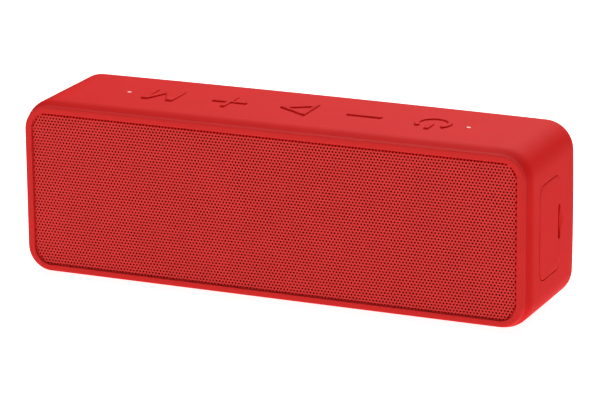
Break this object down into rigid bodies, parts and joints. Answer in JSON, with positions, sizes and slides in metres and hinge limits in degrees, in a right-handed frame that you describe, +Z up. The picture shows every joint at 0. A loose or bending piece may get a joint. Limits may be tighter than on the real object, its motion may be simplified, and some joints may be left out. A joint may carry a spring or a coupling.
{
  "type": "portable speaker",
  "caption": "Compact rounded-box wireless speaker with a perforated metal grille, raised rubber control keys on top and a hinged port flap at one end.",
  "frame": {"origin": "middle of the footprint, on the surface that the rubber feet stand on", "axes": "+X along the length towards the port flap, -Y out of the grille, +Z up"},
  "size_m": [0.1654, 0.0428, 0.0562],
  "materials": {
    "soft_skin": "matte soft-touch",
    "bezel_plastic": "satin",
    "grille_metal": "satin paint",
    "dark_plastic": "matte",
    "black_rubber": "matte",
    "foam": "open foam",
    "steel": "zinc plated",
    "black_steel": "black oxide, dull",
    "ferrite": "dull",
    "copper": "lacquered winding",
    "paper": "pressed pulp",
    "circuit_board": "solder mask",
    "chip": "moulded",
    "cell_wrap": "shrink wrap",
    "light_guide": "translucent"
  },
  "bodies": {
    "housing": {"outer_skin": "soft_skin", "front_bezel": "bezel_plastic", "front_grille": "grille_metal", "inner_tub": "dark_plastic", "front_baffle": "dark_plastic", "radiator_frame": "dark_plastic", "port_panel": "dark_plastic", "battery_cradle": "dark_plastic", "left_surround": "black_rubber", "right_surround": "black_rubber", "radiator_surround": "black_rubber", "foot_left": "black_rubber", "foot_right": "black_rubber", "baffle_gasket": "foam", "left_basket": "steel", "left_top_plate": "steel", "left_yoke": "steel", "right_basket": "steel", "right_top_plate": "steel", "right_yoke": "steel", "usb_socket": "steel", "baffle_screw_1": "black_steel", "baffle_screw_2": "black_steel", "baffle_screw_3": "black_steel", "baffle_screw_4": "black_steel", "left_magnet": "ferrite", "right_magnet": "ferrite", "main_board": "circuit_board", "button_board": "circuit_board", "port_board": "circuit_board", "amplifier_chip": "chip", "wireless_module": "chip", "aux_socket": "chip", "mode_switch": "chip", "volume_up_switch": "chip", "play_switch": "chip", "volume_down_switch": "chip", "power_switch": "chip", "battery_cell": "cell_wrap", "charge_light": "light_guide", "status_light": "light_guide"},
    "mode_key": {"mode_key": "soft_skin", "mode_plunger": "chip"},
    "volume_up_key": {"volume_up_key": "soft_skin", "volume_up_plunger": "chip"},
    "play_key": {"play_key": "soft_skin", "play_plunger": "chip"},
    "volume_down_key": {"volume_down_key": "soft_skin", "volume_down_plunger": "chip"},
    "power_key": {"power_key": "soft_skin", "power_plunger": "chip"},
    "left_cone": {"left_cone": "paper", "left_dust_cap": "paper", "left_voice_coil": "copper"},
    "right_cone": {"right_cone": "paper", "right_dust_cap": "paper", "right_voice_coil": "copper"},
    "radiator_plate": {"radiator_plate": "black_steel"},
    "port_cover": {"port_cover": "soft_skin"}
  },
  "joints": [
    {"name": "mode_press", "type": "slide", "parent": "housing", "child": "mode_key", "axis": [0, 0, -1], "range_m": [0, 0.0004], "stiffness_N_per_m": 3000, "springref_m": -0.0001},
    {"name": "volume_up_press", "type": "slide", "parent": "housing", "child": "volume_up_key", "axis": [0, 0, -1], "range_m": [0, 0.0004], "stiffness_N_per_m": 3000, "springref_m": -0.0001},
    {"name": "play_press", "type": "slide", "parent": "housing", "child": "play_key", "axis": [0, 0, -1], "range_m": [0, 0.0004], "stiffness_N_per_m": 3000, "springref_m": -0.0001},
    {"name": "volume_down_press", "type": "slide", "parent": "housing", "child": "volume_down_key", "axis": [0, 0, -1], "range_m": [0, 0.0004], "stiffness_N_per_m": 3000, "springref_m": -0.0001},
    {"name": "power_press", "type": "slide", "parent": "housing", "child": "power_key", "axis": [0, 0, -1], "range_m": [0, 0.0004], "stiffness_N_per_m": 3000, "springref_m": -0.0001},
    {"name": "port_cover_hinge", "type": "hinge", "parent": "housing", "child": "port_cover", "pos_m": [0.08255, -0.0111, 0.02815], "axis": [0, 0, -1], "range_deg": [0, 115], "stiffness_Nm_per_rad": 0.0004},
    {"name": "left_cone_travel", "type": "slide", "parent": "housing", "child": "left_cone", "axis": [0, -1, 0], "range_m": [-0.0008, 0.0008], "stiffness_N_per_m": 2000, "deforming": ["left_surround"]},
    {"name": "right_cone_travel", "type": "slide", "parent": "housing", "child": "right_cone", "axis": [0, -1, 0], "range_m": [-0.0008, 0.0008], "stiffness_N_per_m": 2000, "deforming": ["right_surround"]},
    {"name": "radiator_travel", "type": "slide", "parent": "housing", "child": "radiator_plate", "axis": [0, -1, 0], "range_m": [-0.001, 0.001], "stiffness_N_per_m": 1500, "deforming": ["radiator_surround"]}
  ]
}
